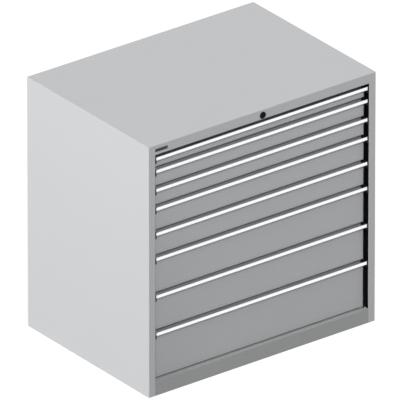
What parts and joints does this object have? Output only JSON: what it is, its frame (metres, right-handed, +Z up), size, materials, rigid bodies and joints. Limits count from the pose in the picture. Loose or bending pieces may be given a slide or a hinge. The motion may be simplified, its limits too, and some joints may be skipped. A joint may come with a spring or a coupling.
{
  "type": "drawer cabinet",
  "caption": "Modular steel cabinet with full-width drawers on telescopic roller rails, aluminium grip profiles and a central cam lock.",
  "frame": {"origin": "middle of the footprint on the floor", "axes": "+X to the right seen from the front, drawers open towards -Y, +Z up"},
  "size_m": [1.023, 0.727, 1],
  "materials": {
    "housing_paint": "light grey powder coat, semi-matt",
    "front_paint": "light grey powder coat, semi-matt",
    "tray_paint": "light grey powder coat, semi-matt",
    "grip_aluminium": "satin anodised",
    "label_white": "white card strip under a clear cover",
    "rail_steel": "zinc-plated",
    "lock_black": "black",
    "lock_steel": "satin nickel"
  },
  "bodies": {
    "housing": {"left_side_panel": "housing_paint", "right_side_panel": "housing_paint", "top_panel": "housing_paint", "back_panel": "housing_paint", "base": "housing_paint", "rail_posts": "housing_paint", "fixed_rails": "rail_steel", "lock_barrel": "lock_black", "lock_guides": "rail_steel"},
    "drawer_1": {"drawer_1_body": "tray_paint", "drawer_1_front": "front_paint", "drawer_1_handle": "grip_aluminium", "drawer_1_label": "label_white", "drawer_1_runners": "rail_steel"},
    "middle_rails_1": {"drawer_1_middle_rails": "rail_steel"},
    "drawer_2": {"drawer_2_body": "tray_paint", "drawer_2_front": "front_paint", "drawer_2_handle": "grip_aluminium", "drawer_2_label": "label_white", "drawer_2_runners": "rail_steel"},
    "middle_rails_2": {"drawer_2_middle_rails": "rail_steel"},
    "drawer_3": {"drawer_3_body": "tray_paint", "drawer_3_front": "front_paint", "drawer_3_handle": "grip_aluminium", "drawer_3_label": "label_white", "drawer_3_runners": "rail_steel"},
    "middle_rails_3": {"drawer_3_middle_rails": "rail_steel"},
    "drawer_4": {"drawer_4_body": "tray_paint", "drawer_4_front": "front_paint", "drawer_4_handle": "grip_aluminium", "drawer_4_label": "label_white", "drawer_4_runners": "rail_steel"},
    "middle_rails_4": {"drawer_4_middle_rails": "rail_steel"},
    "drawer_5": {"drawer_5_body": "tray_paint", "drawer_5_front": "front_paint", "drawer_5_handle": "grip_aluminium", "drawer_5_label": "label_white", "drawer_5_runners": "rail_steel"},
    "middle_rails_5": {"drawer_5_middle_rails": "rail_steel"},
    "drawer_6": {"drawer_6_body": "tray_paint", "drawer_6_front": "front_paint", "drawer_6_handle": "grip_aluminium", "drawer_6_label": "label_white", "drawer_6_runners": "rail_steel"},
    "middle_rails_6": {"drawer_6_middle_rails": "rail_steel"},
    "drawer_7": {"drawer_7_body": "tray_paint", "drawer_7_front": "front_paint", "drawer_7_handle": "grip_aluminium", "drawer_7_label": "label_white", "drawer_7_runners": "rail_steel"},
    "middle_rails_7": {"drawer_7_middle_rails": "rail_steel"},
    "drawer_8": {"drawer_8_body": "tray_paint", "drawer_8_front": "front_paint", "drawer_8_handle": "grip_aluminium", "drawer_8_label": "label_white", "drawer_8_runners": "rail_steel"},
    "middle_rails_8": {"drawer_8_middle_rails": "rail_steel"},
    "lock_plug": {"lock_plug": "lock_steel"},
    "lock_slider": {"lock_slider": "rail_steel"},
    "lock_bar": {"lock_bar": "rail_steel"}
  },
  "joints": [
    {"name": "drawer_1_slide", "type": "slide", "parent": "housing", "child": "drawer_1", "axis": [0, -1, 0], "range_m": [0, 0.61]},
    {"name": "middle_rails_1_slide", "type": "slide", "parent": "housing", "child": "middle_rails_1", "axis": [0, -1, 0], "range_m": [0, 0.305]},
    {"name": "drawer_2_slide", "type": "slide", "parent": "housing", "child": "drawer_2", "axis": [0, -1, 0], "range_m": [0, 0.61]},
    {"name": "middle_rails_2_slide", "type": "slide", "parent": "housing", "child": "middle_rails_2", "axis": [0, -1, 0], "range_m": [0, 0.305]},
    {"name": "drawer_3_slide", "type": "slide", "parent": "housing", "child": "drawer_3", "axis": [0, -1, 0], "range_m": [0, 0.61]},
    {"name": "middle_rails_3_slide", "type": "slide", "parent": "housing", "child": "middle_rails_3", "axis": [0, -1, 0], "range_m": [0, 0.305]},
    {"name": "drawer_4_slide", "type": "slide", "parent": "housing", "child": "drawer_4", "axis": [0, -1, 0], "range_m": [0, 0.61]},
    {"name": "middle_rails_4_slide", "type": "slide", "parent": "housing", "child": "middle_rails_4", "axis": [0, -1, 0], "range_m": [0, 0.305]},
    {"name": "drawer_5_slide", "type": "slide", "parent": "housing", "child": "drawer_5", "axis": [0, -1, 0], "range_m": [0, 0.61]},
    {"name": "middle_rails_5_slide", "type": "slide", "parent": "housing", "child": "middle_rails_5", "axis": [0, -1, 0], "range_m": [0, 0.305]},
    {"name": "drawer_6_slide", "type": "slide", "parent": "housing", "child": "drawer_6", "axis": [0, -1, 0], "range_m": [0, 0.61]},
    {"name": "middle_rails_6_slide", "type": "slide", "parent": "housing", "child": "middle_rails_6", "axis": [0, -1, 0], "range_m": [0, 0.305]},
    {"name": "drawer_7_slide", "type": "slide", "parent": "housing", "child": "drawer_7", "axis": [0, -1, 0], "range_m": [0, 0.61]},
    {"name": "middle_rails_7_slide", "type": "slide", "parent": "housing", "child": "middle_rails_7", "axis": [0, -1, 0], "range_m": [0, 0.305]},
    {"name": "drawer_8_slide", "type": "slide", "parent": "housing", "child": "drawer_8", "axis": [0, -1, 0], "range_m": [0, 0.61]},
    {"name": "middle_rails_8_slide", "type": "slide", "parent": "housing", "child": "middle_rails_8", "axis": [0, -1, 0], "range_m": [0, 0.305]},
    {"name": "lock_turn", "type": "hinge", "parent": "housing", "child": "lock_plug", "pos_m": [0, -0.3625, 0.978], "axis": [0, 1, 0], "range_deg": [0, 90]},
    {"name": "lock_slide", "type": "slide", "parent": "housing", "child": "lock_slider", "axis": [-1, 0, 0], "range_m": [0, 0.01273]},
    {"name": "lock_lift", "type": "slide", "parent": "housing", "child": "lock_bar", "axis": [0, 0, 1], "range_m": [0, 0.008]}
  ],
  "couplings": [
    {"joint": "middle_rails_1_slide", "follows": "drawer_1_slide", "ratio": 0.5},
    {"joint": "middle_rails_2_slide", "follows": "drawer_2_slide", "ratio": 0.5},
    {"joint": "middle_rails_3_slide", "follows": "drawer_3_slide", "ratio": 0.5},
    {"joint": "middle_rails_4_slide", "follows": "drawer_4_slide", "ratio": 0.5},
    {"joint": "middle_rails_5_slide", "follows": "drawer_5_slide", "ratio": 0.5},
    {"joint": "middle_rails_6_slide", "follows": "drawer_6_slide", "ratio": 0.5},
    {"joint": "middle_rails_7_slide", "follows": "drawer_7_slide", "ratio": 0.5},
    {"joint": "middle_rails_8_slide", "follows": "drawer_8_slide", "ratio": 0.5},
    {"joint": "lock_turn", "follows": "lock_slide", "rad_per_m": 123.41},
    {"joint": "lock_lift", "follows": "lock_slide", "ratio": 0.62853}
  ]
}
